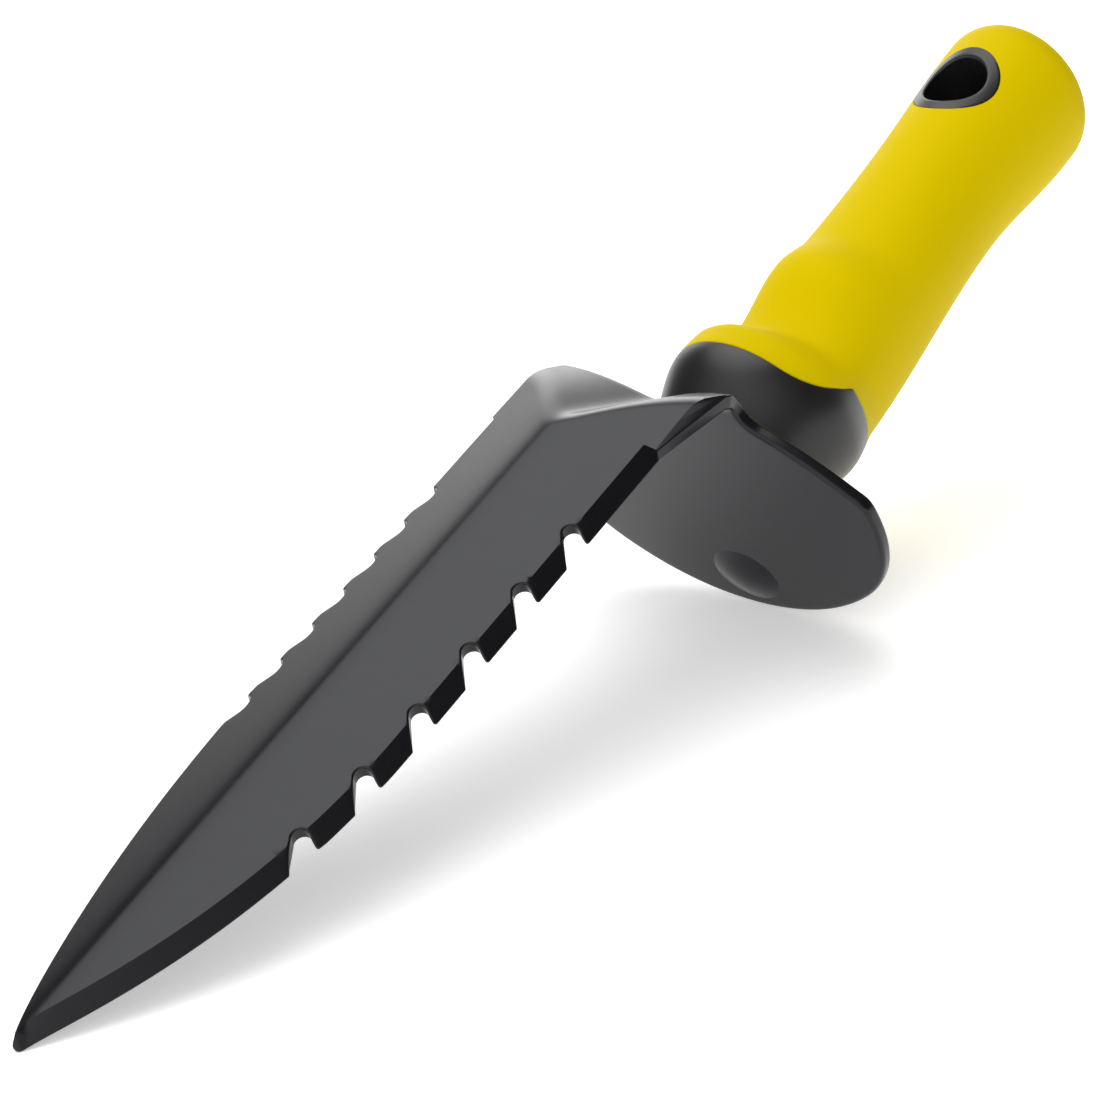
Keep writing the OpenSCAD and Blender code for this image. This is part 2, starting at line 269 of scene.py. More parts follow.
# %% Black coating
def black_coating():
    material, tree, shader, place = new_material("black_coating", IOR=1.42,
                                                  Specular_Tint=(0.94, 0.95, 1.0, 1.0))
    fine = noise(tree, place, 0.3, 2.0)
    cloud = noise(tree, place, 16.0, 3.0)
    streak = noise(tree, place, 3.0, 4.0, 0.6)
    shade = cloud * 0.55 + fine * 0.45
    feed(tree, tint(tree, shade, (0.0025, 0.0025, 0.0036), (0.0075, 0.0073, 0.0100)), shader, "Base Color")
    feed(tree, streak * 0.10 + fine * 0.08 + cloud * 0.08 + 0.10, shader, "Roughness")
    feed(tree, bump(tree, fine + streak * 0.6, 0.005), shader, "Normal")
    return material


# %% [markdown]
# The collar and the eyelet are hard plastic with a fine moulded grain. The grey is so dark that only
# the highlights show the shape, so the gloss is nearly even and the grain is left to the bump.


# %% Grey plastic
def grey_plastic():
    material, tree, shader, place = new_material("grey_plastic", Specular_IOR_Level=0.5)
    grain = noise(tree, place, 0.25, 2.0)
    cloud = noise(tree, place, 9.0, 2.0)
    feed(tree, tint(tree, cloud * 0.6 + grain * 0.4, (0.007, 0.007, 0.007), (0.012, 0.012, 0.012)),
         shader, "Base Color")
    feed(tree, grain * 0.06 + cloud * 0.05 + 0.27, shader, "Roughness")
    feed(tree, bump(tree, grain, 0.010), shader, "Normal")
    return material


# %% [markdown]
# Soft-touch rubber scatters light and hardly mirrors anything. Its reflection is kept weak and
# tinted yellow, because a white sheen would wash out so strong a colour.


# %% Yellow soft-touch rubber
def yellow_rubber():
    material, tree, shader, place = new_material("yellow_rubber", IOR=1.3, Specular_IOR_Level=0.12,
                                                  Specular_Tint=(1.0, 0.85, 0.05, 1.0))
    grain = noise(tree, place, 0.3, 2.0)
    cloud = noise(tree, place, 18.0, 2.0)
    feed(tree, tint(tree, cloud * 0.7 + grain * 0.3, (0.70, 0.520, 0.0), (0.74, 0.555, 0.0)),
         shader, "Base Color")
    feed(tree, grain * 0.08 + cloud * 0.05 + 0.50, shader, "Roughness")
    feed(tree, bump(tree, grain, 0.012), shader, "Normal")
    return material


# %% [markdown]
# The bar and its weld are hidden inside the handle, and are real metals for whoever takes the handle
# off. Turning leaves fine rings on the bar, and welding leaves ripples and soot on the bead.


# %% Bare steel for the bar
def bare_steel():
    material, tree, shader, place = new_material("bare_steel", Metallic=1.0)
    ring = node(tree, "ShaderNodeTexWave", {"wave_type": "BANDS", "bands_direction": "Y"},
                {"Vector": place, "Scale": 900.0, "Distortion": 1.5, "Detail": 2.0}, "Fac")
    stain = noise(tree, place, 8.0, 3.0)
    feed(tree, tint(tree, stain, (0.42, 0.42, 0.43), (0.58, 0.58, 0.59)), shader, "Base Color")
    feed(tree, ring * 0.12 + stain * 0.15 + 0.28, shader, "Roughness")
    feed(tree, bump(tree, ring, 0.01), shader, "Normal")
    return material


# %% Weld metal
def weld_metal():
    material, tree, shader, place = new_material("weld_metal", Metallic=1.0)
    ripple = node(tree, "ShaderNodeTexWave", {"wave_type": "RINGS", "rings_direction": "Y"},
                  {"Vector": place, "Scale": 260.0, "Distortion": 3.0, "Detail": 2.0}, "Fac")
    soot = noise(tree, place, 3.0, 4.0)
    feed(tree, tint(tree, soot, (0.18, 0.17, 0.16), (0.48, 0.46, 0.44)), shader, "Base Color")
    feed(tree, ripple * 0.2 + soot * 0.2 + 0.35, shader, "Roughness")
    feed(tree, bump(tree, ripple, 0.12), shader, "Normal")
    return material


# %% Make the finishes
makers = (black_coating, grey_plastic, yellow_rubber, bare_steel, weld_metal)
finishes = {make.__name__: make() for make in makers}
print("finishes:", sorted(finishes))

# %% [markdown]
# ## The steel plate, before it is folded
#
# The plate could be modelled straight in its folded shape, but its outline is only simple while it
# is flat. So it is drawn flat, with its teeth and its ground edges, and folded afterwards. X is
# across and Y runs along the middle line: over the blade, round the bend and down the guard.

# %% Sizes of the blade
BLADE_HALF = 24.4
FOLD_SLOPE = math.radians(16.2)
ACROSS = math.cos(FOLD_SLOPE)
BEVEL_RIGHT, BEVEL_LEFT = 3.3, 1.8
EDGE_LAND = 0.3
PLAIN_LENGTH = 21.8
GROUND_END = BLADE_LENGTH - PLAIN_LENGTH
STEP_GAP = 0.4
POINT_LENGTH = 85.0
TIP_ROUND = 1.9

# The point's arcs touch the circle of the tip, so that the outline has no corner there.
POINT_RADIUS = ((POINT_LENGTH - TIP_ROUND) ** 2 / (BLADE_HALF - TIP_ROUND) + BLADE_HALF + TIP_ROUND) / 2
print("point radius:", round(POINT_RADIUS, 1))


def blade_reach(y):
    """Half width of the blade at a distance from the tip, down the slope."""
    swell = POINT_RADIUS ** 2 - most(POINT_LENGTH - y, 0) ** 2
    return swell ** 0.5 + (BLADE_HALF - POINT_RADIUS)


# %% [markdown]
# The outline is drawn with three tools: an arc, a corner that an arc cuts off, and a long stretch
# that is divided into short ones, because a straight line can't follow the fold with points at its
# ends only.


# %% Drawing tools
CORNER_GAP = 0.8


def arc(x, y, radius, start, end, count):
    """Points along an arc, from one angle in degrees to another."""
    angles = np.radians(np.linspace(start, end, count))
    return [(x + radius * math.cos(a), y + radius * math.sin(a)) for a in angles]


def rounded(corners):
    """A line through corners (x, y, radius), each cut off by an arc that touches both sides."""
    points = []
    for before, (x, y, radius), after in zip(corners, corners[1:], corners[2:]):
        here = Vector((x, y))
        back, ahead = (Vector(before[:2]) - here).normalized(), (Vector(after[:2]) - here).normalized()
        half = back.angle(ahead) / 2
        centre = here + (back + ahead).normalized() * (radius / math.sin(half))
        start = here + back * (radius / math.tan(half)) - centre
        sweep = (math.pi - 2 * half) * (1 if back.cross(ahead) < 0 else -1)
        count = max(4, round(abs(sweep) * radius / CORNER_GAP))
        points += [tuple(centre + Matrix.Rotation(sweep * i / count, 2) @ start) for i in range(count + 1)]
    return points


def spaced(points, gap):
    """Adds points so that no stretch between two is longer than the gap."""
    dense = [points[0]]
    for (x0, y0), (x1, y1) in zip(points, points[1:]):
        count = max(1, math.ceil(math.hypot(x1 - x0, y1 - y0) / gap))
        dense += [(x0 + (x1 - x0) * i / count, y0 + (y1 - y0) * i / count) for i in range(1, count + 1)]
    return dense


# %% [markdown]
# ### Rows of teeth and waves
#
# Every gullet on the right edge is the same cut, and so is every wave on the left. A Geometry Nodes
# tree copies one cut down the edge: a line of points, each moved out to the edge by the formula of
# the outline, with the cut's outline placed on it. The points that come out are spliced into the
# outline of the plate.


# %% One cut, and a row of them
# A cut: the width of its mouth along the edge, the radius of its bottom, its depth, where the bottom's
# middle lies from the tooth behind it, and the rounding of its corners. A row: how far before the end of the
# ground stretch it starts, how far it reaches into the point, and the distance between cuts.
TOOTH = {"mouth": 6.7, "round": 1.8, "depth": 4.9, "lead": -0.4, "soft": 0.5,
         "start": 24.8, "reach": 25.6, "pitch": 16.3}
WAVE = {"mouth": 10.0, "round": 2.6, "depth": 4.4, "lead": -3.8, "soft": 0.8,
        "start": 20.9, "reach": 0.2, "pitch": 10.0}
RUN_IN = 2.0
WALL_GAP = 1.2


def cut_outline(cut):
    """The outline of one cut, from its mouth near the tip to the tooth behind it; X is out from the edge."""
    mouth, soft = cut["mouth"], cut["soft"]
    bottom = arc(cut["round"] - cut["depth"], cut["lead"], cut["round"], 225, 45, 13)
    corner = rounded([(0, -mouth - RUN_IN, 0), (0, -mouth, soft), (*bottom[0], 0)])
    wall = spaced([corner[-1], bottom[0]], WALL_GAP)[1:-1]
    return corner + wall + bottom + rounded([(*bottom[-1], 0), (0, 0, soft), (0, RUN_IN, 0)])


def cut_row(name, cut):
    """Copies of a cut down the edge, as lists of points in the plate's drawing."""
    span = GROUND_END - cut["start"] - (POINT_LENGTH - cut["reach"])
    steps = round(span / cut["pitch"])
    outline = cut_outline(cut)
    seed = new_piece(name, [(x, y, 0) for x, y in outline], [], [(i, i + 1) for i in range(len(outline) - 1)])
    dials = {"Copies": steps + 1, "Step": span / steps, "First tooth": GROUND_END - cut["start"]}
    tree, geometry, dial = geometry_tree("row_of_" + name, dials)
    index = node(tree, "GeometryNodeInputIndex")
    row = node(tree, "GeometryNodeMeshLine", {"mode": "OFFSET"}, {"Count": dial["Copies"]})
    y = dial["First tooth"] - index * dial["Step"]
    spot = node(tree, "ShaderNodeCombineXYZ", {}, {"X": blade_reach(y), "Y": y})
    row = node(tree, "GeometryNodeSetPosition", {}, {"Geometry": row, "Position": spot})
    copies = node(tree, "GeometryNodeInstanceOnPoints", {}, {"Points": row, "Instance": geometry})
    close_tree(tree, copies, finishes["black_coating"])
    run_tree(seed, tree, dials)
    points = [(v.co.x, v.co.y) for v in seed.data.vertices]
    bpy.data.objects.remove(seed)
    size = len(outline)
    return [points[i * size:(i + 1) * size] for i in range(steps + 1)][::-1]


teeth = cut_row("gullets", TOOTH)
waves = cut_row("waves", WAVE)
print("gullets:", len(teeth), "waves:", len(waves), "points each:", len(teeth[0]))

# %% [markdown]
# ### The shoulder, the bend and the guard
#
# Behind the crest two facets sink towards the middle and rise to the ears, and the plate then bends
# down. These heights are needed twice: to draw the guard's outline on the flat plate, and to fold
# it. They are written once, as functions that take numbers or wires.

# %% Heights of the folded plate
CREST_ROUND = 3.0
CREST_SINK = 2.4
SHOULDER_LENGTH = 23.5
SPLIT_Y = BLADE_LENGTH - SHOULDER_LENGTH
FACET_FALL = 0.717
FACET_RISE = 0.54
FACET_CROWN = 0.0124
RIDGE_BLEND = 2.5
FACET_ANGLE = math.atan(FACET_FALL)
BEND_RADIUS = 7.0
BEND_AXIS_Y = BACK_FACE - BEND_RADIUS
BEND_START = BEND_AXIS_Y + BEND_RADIUS * math.sin(FACET_ANGLE)
BEND_END = BEND_START + BEND_RADIUS * (math.pi / 2 - FACET_ANGLE)


def soft_abs(x):
    """The distance from the middle line, rounded off near it as the press rounds the fold."""
    return (x * x + CREST_ROUND ** 2) ** 0.5 - CREST_SINK


def facet_height(x, y):
    """Height of a shoulder facet, which bulges a little towards its ear."""
    side = soft_abs(x)
    return (y - SPLIT_Y) * -FACET_FALL + (side * FACET_RISE - side * side * FACET_CROWN)


def plate_height(x, y, lift=0.0):
    """The blade's roof and the shoulder's facets, melted together; a lift takes the roof away."""
    roof = soft_abs(x) * -math.tan(FOLD_SLOPE) + lift
    facet = facet_height(x, y)
    near = most(RIDGE_BLEND - abs(roof - facet), 0) / RIDGE_BLEND
    return least(roof, facet) - near * near * (RIDGE_BLEND / 4)


def along_guard(x, z):
    """How far along the flat plate a point of the guard lies, from its height."""
    return BEND_END + facet_height(x, BEND_START) - BEND_RADIUS * math.cos(FACET_ANGLE) - z


# %% Sizes of the guard
GUARD_HALF = 47.0
GUARD_DROP = 80.5
WING_ROUND = 6.0
CORNER_RADIUS = 32.0
FOOT_FLATNESS = 9.0
FOOT_RADIUS = GUARD_HALF + FOOT_FLATNESS
SIDE_FLAT = 2.0
EAR_OUT, NECK_IN = 0.4, 1.9
EAR_X = BLADE_HALF * ACROSS + EAR_OUT
NECK_X = BLADE_HALF * ACROSS - NECK_IN
EAR_ROUND, NECK_ROUND = 9.0, 7.0
EAR_Y = BEND_START + 0.6
NECK_TOP = NECK_Z + 1
WING_START_X = NECK_X - 0.3


def guard_outline():
    """Right half of the guard, from the shoulder's side to the middle of the foot."""
    foot_z = FOOT_RADIUS - GUARD_DROP
    corner_x = GUARD_HALF - CORNER_RADIUS
    turn = math.degrees(math.acos(corner_x / (FOOT_RADIUS - CORNER_RADIUS)))
    corner_z = foot_z - (FOOT_RADIUS - CORNER_RADIUS) * math.sin(math.radians(turn))
    wing_x, wing_z = GUARD_HALF - WING_ROUND, corner_z + SIDE_FLAT
    run, fall = wing_x - WING_START_X, NECK_Z - wing_z
    side = math.sqrt(fall ** 2 + run ** 2 - WING_ROUND ** 2)
    slope = (fall * run - WING_ROUND * side) / (run ** 2 - WING_ROUND ** 2)
    wing_end = arc(wing_x, wing_z, WING_ROUND, math.degrees(math.atan(1 / slope)), 0, 9)
    corner = arc(corner_x, corner_z, CORNER_RADIUS, 0, -turn, 20)
    foot = arc(0, foot_z, FOOT_RADIUS, -turn, -90, 40)
    lower = [(x, along_guard(x, z)) for x, z in wing_end + corner[:-1] + foot]
    shoulder_end = (BLADE_HALF * ACROSS, GROUND_END, 0)
    ear = (EAR_X, EAR_Y, EAR_ROUND)
    neck = (NECK_X, along_guard(NECK_X, NECK_TOP), NECK_ROUND)
    return rounded([shoulder_end, ear, neck, (*lower[0], 0)]) + lower


# %% [markdown]
# On the point the edge runs in towards the tip, so the front of a cut has to follow it. The cut's
# points are moved in by what is missing at its mouth, and the move fades out towards the tooth
# behind.


# %% Outline of the plate
OUTLINE_GAP = 1.3
FADE_START, FADE_SHARE = 0.6, 0.6
SAME_POINT = 0.02


def edge_outline(cuts):
    """Right half of the ground stretch, from the tip on, with a row of cuts spliced in."""
    swing = math.degrees(math.atan2(POINT_LENGTH - TIP_ROUND, POINT_RADIUS - BLADE_HALF))
    points = arc(0, TIP_ROUND, TIP_ROUND, -90, -swing, 6)
    start = points[-1][1]
    for cut in cuts:
        low, high = cut[0], cut[-1]
        mouth = (blade_reach(low[1]), low[1])
        count = max(1, round((mouth[1] - start) / OUTLINE_GAP))
        points += [(blade_reach(y), y) for y in np.linspace(start, mouth[1], count + 1)[1:-1]]
        shift, fade = mouth[0] - low[0], FADE_SHARE * (high[1] - low[1])
        points += [(x + shift * min(1, max(0, 1 - (y - low[1] - FADE_START) / fade)), y) for x, y in cut]
        start = high[1]
    last = GROUND_END - STEP_GAP
    count = round((last - start) / OUTLINE_GAP)
    points += [(BLADE_HALF, y) for y in np.linspace(start, last, count + 1)[1:]]
    return [(x * ACROSS, y) for x, y in points] + [(BLADE_HALF * ACROSS, GROUND_END)]


def half_outline(cuts):
    """One half of the plate's outline, without points that lie on the one before."""
    points = edge_outline(cuts) + spaced(guard_outline(), OUTLINE_GAP)
    kept = [points[0]]
    for point in points[1:]:
        if math.dist(point, kept[-1]) > SAME_POINT:
            kept.append(point)
    return kept


right, left = half_outline(teeth), half_outline(waves)
outline = np.array(right[:-1] + [(-x, y) for x, y in left[::-1]][:-1])
print("points in the outline:", len(outline))

# %% [markdown]
# ### Grinding and thickness
#
# A ground edge thins towards the outline. How much is taken off the top face at a point follows
# from how far the point lies inside the blade's outline as it was before the teeth were cut, so the
# cuts show the bevel's slope in their walls, as they do on the real tool.


# %% How much is ground off
def inside(points):
    """Distance of points from the uncut edge of the blade, measured down the slope."""
    u, y = np.abs(points[:, 0]) / ACROSS, points[:, 1]
    ahead = np.maximum(POINT_LENGTH - y, 0)
    return POINT_RADIUS - np.hypot(u + (POINT_RADIUS - BLADE_HALF), ahead)


def ground_off(points):
    """Depth taken off the top face, none behind the end of the ground stretch."""
    share = np.clip((GROUND_END - points[:, 1]) / STEP_GAP, 0, 1)
    width = np.where(points[:, 0] > 0, BEVEL_RIGHT, BEVEL_LEFT)
    return (SHEET - EDGE_LAND) * np.clip(1 - inside(points) / width, 0, 1) * share


def inward(points):
    """Unit directions into the outline at each of its points, longer at corners so that offsets stay even."""
    ahead = np.roll(points, -1, 0) - points
    ahead /= np.linalg.norm(ahead, axis=1)[:, None]
    behind = np.roll(ahead, 1, 0)
    normal = np.stack([-(ahead + behind)[:, 1], (ahead + behind)[:, 0]], 1)
    normal /= np.linalg.norm(normal, axis=1)[:, None]
    square = np.stack([-ahead[:, 1], ahead[:, 0]], 1)
    return normal / np.clip((normal * square).sum(1), 0.5, 1)[:, None]


# %% Rounding of the edges
CUT_ROUND, GUARD_ROUND = 0.45, 0.9
ROUND_CHANGE = 8.0
MOST_OF_EDGE = 0.42
direction = inward(outline)
edge_thickness = SHEET - ground_off(outline)
guard_share = np.clip((outline[:, 1] - BEND_START) / ROUND_CHANGE, 0, 1)
edge_round = CUT_ROUND + (GUARD_ROUND - CUT_ROUND) * guard_share
edge_round = np.minimum(edge_round, MOST_OF_EDGE * edge_thickness)
rim = outline + direction * edge_round[:, None]
print("rounding of the edges, mm:", round(edge_round.min(), 2), "to", round(edge_round.max(), 2))

# %% [markdown]
# ### Filling the face
#
# The face is filled with triangles between the rounded rim, the line where the bevel starts and a
# grid of points that is fine where the plate will be folded and coarse where it stays flat. A
# constrained Delaunay fill keeps the lines and makes even triangles between them.


# %% Lines and points inside the face
CREASE_START, CREASE_GAP = 0.4, 1.2


def bevel_width(x):
    """Width of the bevel on the side where x lies."""
    return BEVEL_RIGHT if x > 0 else BEVEL_LEFT


def crease_line(side):
    """The line where the bevel starts on one side, from near the tip to the end of the ground stretch."""
    inner_radius = POINT_RADIUS - bevel_width(side)
    first = POINT_LENGTH - math.sqrt(inner_radius ** 2 - (POINT_RADIUS - BLADE_HALF) ** 2)
    last = GROUND_END - STEP_GAP
    spots = [*np.arange(first + CREASE_START, last, CREASE_GAP), last, GROUND_END]
    ahead = np.maximum(POINT_LENGTH - np.array(spots), 0)
    across = np.sqrt(inner_radius ** 2 - ahead ** 2) + BLADE_HALF - POINT_RADIUS
    return np.stack([across * ACROSS * side, spots], 1)


def in_outline(points, polygon):
    """Which points lie inside a closed polygon, by counting crossings."""
    x, y = points[:, 0][:, None], points[:, 1][:, None]
    a, b = polygon, np.roll(polygon, -1, 0)
    crosses = (a[:, 1] > y) != (b[:, 1] > y)
    rise = np.where(b[:, 1] == a[:, 1], 1e-12, b[:, 1] - a[:, 1])
    at = a[:, 0] + (y - a[:, 1]) / rise * (b[:, 0] - a[:, 0])
    return (crosses & (x < at)).sum(1) % 2 == 1


def grid(xs, ys):
    """Every pair of an x and a y, as points."""
    gx, gy = np.meshgrid(xs, ys)
    return np.stack([gx.ravel(), gy.ravel()], 1)


def both_sides(values):
    """Values and their mirror images, in order."""
    return np.array(sorted({round(float(s * v), 4) for v in values for s in (-1, 1)}))


# %% A grid for each part of the face
KNOB_HIGH, KNOB_WIDE, KNOB_TALL = 1.6, 8.5, 7.0
KNOB_LIFT = 10
KNOB_Z = KNOB_LIFT - GUARD_DROP
KNOB_MARGIN, KNOB_CLEAR, KNOB_GAP = 2.0, 2.3, 0.6
SHOULDER_START = 152.0

# The columns run a little past the outline, and what lies outside it is dropped before the fill.
BLADE_LIMIT, GUARD_LIMIT = 24, 50
near_crest = [0, 0.45, 0.9, 1.4, 2]
fold_columns = both_sides([*near_crest, 2.7, 3.6, 4.8, 6.4, *np.arange(8.2, BLADE_LIMIT, 1.8)])
bend_columns = both_sides([*near_crest, *np.arange(2.8, BLADE_LIMIT, 0.8)])
guard_columns = both_sides(np.arange(0, GUARD_LIMIT, 1.4))
flat_blade = grid(fold_columns, np.arange(3, SHOULDER_START, 1.5))
shoulder = grid(bend_columns, np.arange(SHOULDER_START + 0.6, BEND_START, 0.75))
bend = grid(bend_columns, np.linspace(BEND_START, BEND_END, 13))
guard = grid(guard_columns, np.arange(BEND_END + 0.8, along_guard(0, -GUARD_DROP) + 8, 1.3))
knob_along = along_guard(0, KNOB_Z)


def in_knob(points, margin):
    """Which points of the flat plate lie in the knob's oval, or within a margin of it."""
    across = points[:, 0] / (KNOB_WIDE + margin)
    return np.hypot(across, (points[:, 1] - knob_along) / (KNOB_TALL + margin)) < 1


knob_rows = both_sides(np.arange(0, KNOB_TALL + KNOB_MARGIN, KNOB_GAP))
knob_columns = both_sides(np.arange(0, KNOB_WIDE + KNOB_MARGIN, KNOB_GAP))
knob_spots = grid(knob_columns, knob_along + knob_rows)
coarse_guard = guard[~in_knob(guard, KNOB_CLEAR)]
fine_guard = knob_spots[in_knob(knob_spots, KNOB_MARGIN)]
candidates = np.vstack([flat_blade, shoulder, bend, coarse_guard, fine_guard])
print("points offered for the face:", len(candidates))

# %% [markdown]
# A cut interrupts the line where the bevel starts. Each stretch of the line that is left has to end
# on the rim, at the point where the cut's wall crosses the bevel's start, or the bevel's slope
# would be lost there.


# %% Stitch the bevel's line to the rim
RIM_CLEAR, LINE_CLEAR = 0.45, 0.55
STITCH_REACH, STITCH_BACK = 3, 0.3
GAP_WEIGHT = 0.15


def stitch(line, first):
    """Numbers the line's points in open metal, and joins the ends of its stretches to the rim."""
    clear = np.array([np.hypot(*(rim - point).T).min() > RIM_CLEAR for point in line])
    kept = np.flatnonzero(in_outline(line, rim) & clear)
    numbers = {i: first + n for n, i in enumerate(kept)}
    edges = []
    for run in np.split(kept, np.flatnonzero(np.diff(kept) > 1) + 1):
        edges += [(numbers[a], numbers[b]) for a, b in zip(run, run[1:])]
        for end, step in ((run[0], -1), (run[-1], 1)):
            if 0 < end < len(line) - 1:
                x, y = line[end]
                gap = np.hypot(*(rim - line[end]).T)
                fits = ((rim[:, 1] - y) * step > -STITCH_BACK) & (rim[:, 0] * x > 0) & (gap < STITCH_REACH)
                score = np.abs(inside(rim) - bevel_width(x)) + GAP_WEIGHT * gap
                edges.append((numbers[end], int(np.where(fits, score, np.inf).argmin())))
    return line[kept], edges, numbers


fixed, lines = rim, []
for side in (1, -1):
    line = crease_line(side)
    kept, edges, numbers = stitch(line, len(fixed))
    fixed = np.vstack([fixed, kept])
    lines += edges
    # The line's last two points are joined to the rim straight across, where the ground stretch ends.
    for back, y in ((2, GROUND_END - STEP_GAP), (1, GROUND_END)):
        wrong_side = outline[:, 0] * side < 0
        on_rim = np.where(wrong_side, np.inf, np.abs(outline[:, 1] - y)).argmin()
        lines.append((numbers[len(line) - back], int(on_rim)))
print("points on the rim and the bevel's lines:", len(fixed), "edges between them:", len(lines))

# %% Fill the face
taken = KDTree(len(fixed))
for i, (x, y) in enumerate(fixed):
    taken.insert((x, y, 0), i)
taken.balance()
free = np.array([p for p in candidates if taken.find((*p, 0))[2] > LINE_CLEAR])
free = free[in_outline(free, rim)]
plan = np.vstack([fixed, free])
count = len(rim)
made = delaunay_2d_cdt([Vector(p) for p in plan], lines, [list(range(count))], 1, 1e-5)
flat_points, flat_faces = np.array([tuple(v) for v in made[0]]), made[2]
print("points in the face:", len(flat_points), "triangles:", len(flat_faces), "given:", len(plan))

# %% [markdown]
# ### A closed plate with rounded edges
#
# The top and bottom faces share one fill. Between them the edge turns through rounded rings,
# because a punched and tumbled edge is never sharp, and its thin light line is what shows the
# thickness from afar.

# %% Close the plate
ROUND_STEPS = 4
rings = []
for turn in np.radians(np.linspace(0, 90, ROUND_STEPS + 1)):
    spot = outline + direction * (edge_round * (1 - math.cos(turn)))[:, None]
    sink = edge_round * (1 - math.sin(turn))
    rings.insert(0, np.column_stack([spot, -SHEET + sink]))
    rings.append(np.column_stack([spot, -ground_off(spot) - sink]))

inner = flat_points[count:]
top_inner = np.column_stack([inner, -ground_off(inner)])
low_inner = np.column_stack([inner, np.full(len(inner), -SHEET)])
plate_points = np.vstack([*rings, top_inner, low_inner])
plate_faces = []
for r in range(len(rings) - 1):
    a, b = r * count, (r + 1) * count
    plate_faces += [(a + i, a + (i + 1) % count, b + (i + 1) % count, b + i) for i in range(count)]
top_rim = (len(rings) - 1) * count
top_first = len(rings) * count
low_first = top_first + len(inner)
for face in flat_faces:
    plate_faces.append([top_rim + i if i < count else top_first + i - count for i in face])
    plate_faces.append([i if i < count else low_first + i - count for i in reversed(face)])
blade = new_piece("blade_sheet", plate_points, plate_faces)
print("plate:", len(plate_points), "points,", len(plate_faces), "faces")

# %% [markdown]
# ## Folding the plate
#
# The press folds the whole plate in one blow. In the tree below each point keeps its depth under
# the plate's top face, and that face is laid on the folded shape: the roof of the blade, the two
# facets of the shoulder, the bend and the leaning guard with its small pressed knob near the foot.
# The depth is then measured square to the shape.

# %% The folded top face, as a formula
KNOB_SHAPE = 1.2
ROOF_LIFT = 20


def folded_face(tree, x, v, dial):
    """X, Y and Z of the folded top face for a point of the flat plate."""
    before_bend = least(v, BEND_START)
    turned = least(most((v - BEND_START) / dial["Bend radius"], 0) + FACET_ANGLE, math.pi / 2)
    hanging = most(v - BEND_END, 0)
    top = plate_height(x, before_bend, most(v - BEND_START, 0) * ROOF_LIFT)
    z = (top - (math.cos(FACET_ANGLE) - turned.cosine()) * dial["Bend radius"]) - hanging
    lean = most(NECK_Z - z, 0) * math.tan(GUARD_LEAN)
    far = (x / KNOB_WIDE) ** 2 + abs((z - KNOB_Z) / KNOB_TALL) ** 2
    knob = most(1 - far, 0) ** KNOB_SHAPE * dial["Knob height"]
    y = before_bend + (turned.sine() - math.sin(FACET_ANGLE)) * dial["Bend radius"] + lean - knob
    return node(tree, "ShaderNodeCombineXYZ", {}, (x, y, z))


def vector_maths(tree, operation, *values):
    """A Vector Math node, for what a Math node can't do."""
    return node(tree, "ShaderNodeVectorMath", {"operation": operation}, values)


# %% [markdown]
# The direction square to the folded face comes from four feelers: the face is worked out a tenth of
# a millimetre to each side of the point and before and behind it, and the two lines between them
# span the face.

# %% The folding tree
fold_dials = {"Bend radius": BEND_RADIUS, "Knob height": KNOB_HIGH, "Feeler": 0.1}
tree, geometry, dial = geometry_tree("fold_plate", fold_dials)
flat = node(tree, "GeometryNodeInputPosition")
parts = tree.nodes.new("ShaderNodeSeparateXYZ")
tree.links.new(flat.socket, parts.inputs[0])
x, v, depth = (Wire(tree, output) for output in parts.outputs)
feeler = dial["Feeler"]
right_point, left_point = folded_face(tree, x + feeler, v, dial), folded_face(tree, x - feeler, v, dial)
back_point, front_point = folded_face(tree, x, v + feeler, dial), folded_face(tree, x, v - feeler, dial)
across = vector_maths(tree, "SUBTRACT", right_point, left_point)
along = vector_maths(tree, "SUBTRACT", back_point, front_point)
square = vector_maths(tree, "NORMALIZE", vector_maths(tree, "CROSS_PRODUCT", across, along))
sunk = node(tree, "ShaderNodeVectorMath", {"operation": "SCALE"}, {"Vector": square, "Scale": depth})
folded = vector_maths(tree, "ADD", folded_face(tree, x, v, dial), sunk)
folded = node(tree, "GeometryNodeSetPosition", {}, {"Geometry": geometry, "Position": folded})
close_tree(tree, folded, finishes["black_coating"])
run_tree(blade, tree, fold_dials)
print("folded plate, mm:", [round(size, 1) for size in blade.dimensions])

# %% [markdown]
# ## Shading and placing
#
# Every piece is finished in the same way: its corners stay sharp and its rounded parts smooth, its
# large faces decide the shading near their borders, and its drawing is put in its place in the
# room.


# %% Finish a piece
SHARP_CORNER = math.radians(34)


def finish_piece(thing, place, slot, *nodes):
    """Sharp corners, smooth curves, metres, a place under the root, and the CAD parts that it replaces
    hidden; the slot is not used.
    """
    thing.data.transform(place)
    thing.data.update()
    for face in thing.data.polygons:
        face.use_smooth = True
    thing.data.set_sharp_from_angle(angle=SHARP_CORNER)
    even = thing.modifiers.new("even_shading", "WEIGHTED_NORMAL")
    even.keep_sharp = True
    even.weight = 50
    keep_result(thing)
    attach(thing, "root")
    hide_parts(*nodes)
    points = np.array([tuple(v.co) for v in thing.data.vertices])
    print(thing.name, len(thing.data.polygons), "faces, mm:",
          np.round(points.min(0) / MM, 1), np.round(points.max(0) / MM, 1))


finish_piece(blade, blade_place, "black_steel", "blade_guard")

# %% [markdown]
# ## The handle's outside
#
# The grip's outside is a stack of rounded sections. Their tops, bottoms and sides swell and shrink
# along the handle: a collar behind the guard, a saddle for the thumb, a hump and a full end for the
# palm. Only a few stations are given, and an easing curve runs between them.

